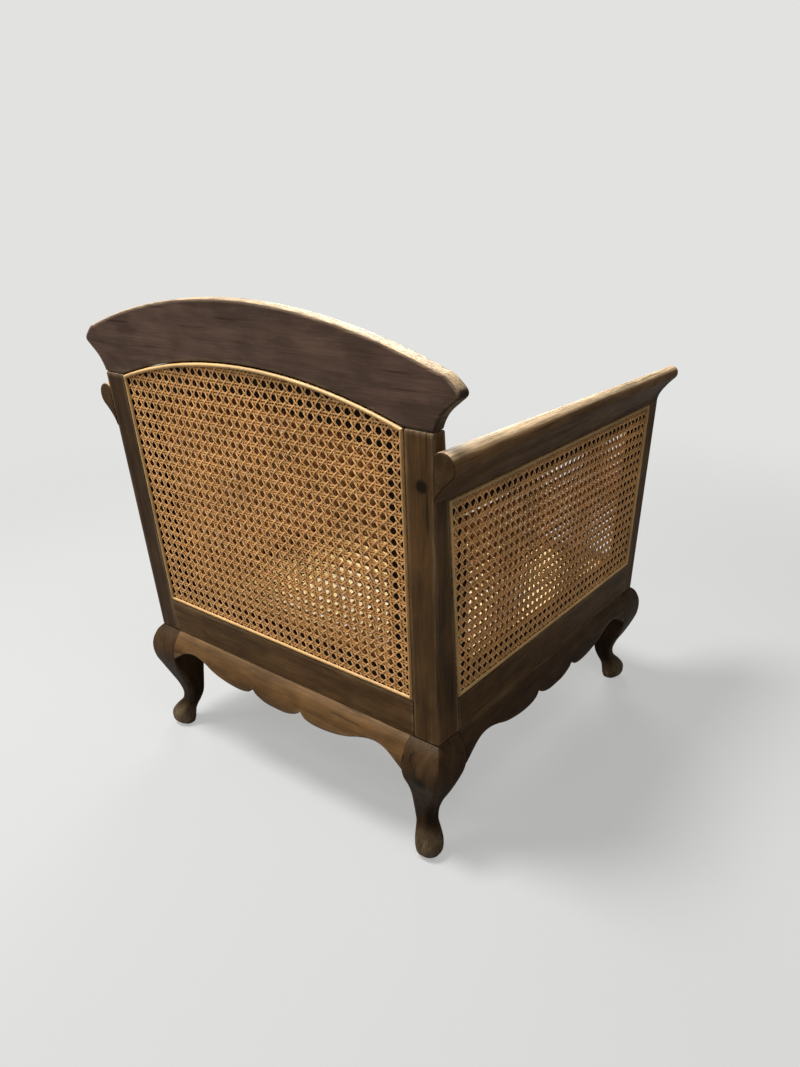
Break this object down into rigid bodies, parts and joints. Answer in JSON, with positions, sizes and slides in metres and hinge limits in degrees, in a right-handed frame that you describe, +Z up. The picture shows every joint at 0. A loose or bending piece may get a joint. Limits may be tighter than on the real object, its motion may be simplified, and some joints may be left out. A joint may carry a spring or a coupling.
{
  "type": "caned bergere armchair",
  "caption": "Low wooden armchair with an arched crest, scrolled arms, double-caned back and sides, a caned seat and cabriole legs below scalloped aprons.",
  "frame": {"origin": "floor level, centre of the chair's plan between the knees of the four legs", "axes": "+Z up, -Y towards the front of the seat, +X towards the sitter's left"},
  "size_m": [0.6666, 0.666, 0.7455],
  "materials": {
    "show_wood": "worn dark brown wax on open grain",
    "frame_wood": "dark unpolished wood behind and under the cane",
    "cane": "natural golden split rattan, satin",
    "reed": "natural golden rattan core, satin"
  },
  "bodies": {
    "root": {"rear_leg_left": "show_wood", "rear_leg_right": "show_wood", "front_leg_left": "show_wood", "front_leg_right": "show_wood", "rear_apron": "show_wood", "front_apron": "show_wood", "side_apron_left": "show_wood", "side_apron_right": "show_wood", "rear_corner_block_left": "frame_wood", "rear_corner_block_right": "frame_wood", "front_corner_block_left": "frame_wood", "front_corner_block_right": "frame_wood", "front_rail": "show_wood", "back_rail": "show_wood", "crest_rail": "show_wood", "back_panel_stile_left": "frame_wood", "back_panel_stile_right": "frame_wood", "back_panel_bottom_rail": "frame_wood", "back_panel_top_rail": "frame_wood", "back_cane_outer": "cane", "back_cane_inner": "cane", "back_reed_inner": "reed", "back_reed_bottom": "reed", "back_reed_left": "reed", "back_reed_top": "reed", "back_reed_right": "reed", "rear_post_left": "show_wood", "front_post_left": "show_wood", "side_rail_left": "show_wood", "arm_rail_left": "show_wood", "side_panel_rear_stile_left": "frame_wood", "side_panel_front_stile_left": "frame_wood", "side_panel_bottom_rail_left": "frame_wood", "side_panel_top_rail_left": "frame_wood", "side_cane_outer_left": "cane", "side_cane_inner_left": "cane", "side_reed_inner_left": "reed", "side_reed_outer_left": "reed", "rear_post_right": "show_wood", "front_post_right": "show_wood", "side_rail_right": "show_wood", "arm_rail_right": "show_wood", "side_panel_rear_stile_right": "frame_wood", "side_panel_front_stile_right": "frame_wood", "side_panel_bottom_rail_right": "frame_wood", "side_panel_top_rail_right": "frame_wood", "side_cane_outer_right": "cane", "side_cane_inner_right": "cane", "side_reed_inner_right": "reed", "side_reed_outer_right": "reed", "seat_frame_left": "frame_wood", "seat_frame_right": "frame_wood", "seat_frame_front": "frame_wood", "seat_frame_rear": "frame_wood", "seat_cane": "cane", "seat_reed": "reed", "seat_cleat_left": "frame_wood", "seat_cleat_right": "frame_wood"}
  },
  "joints": []
}
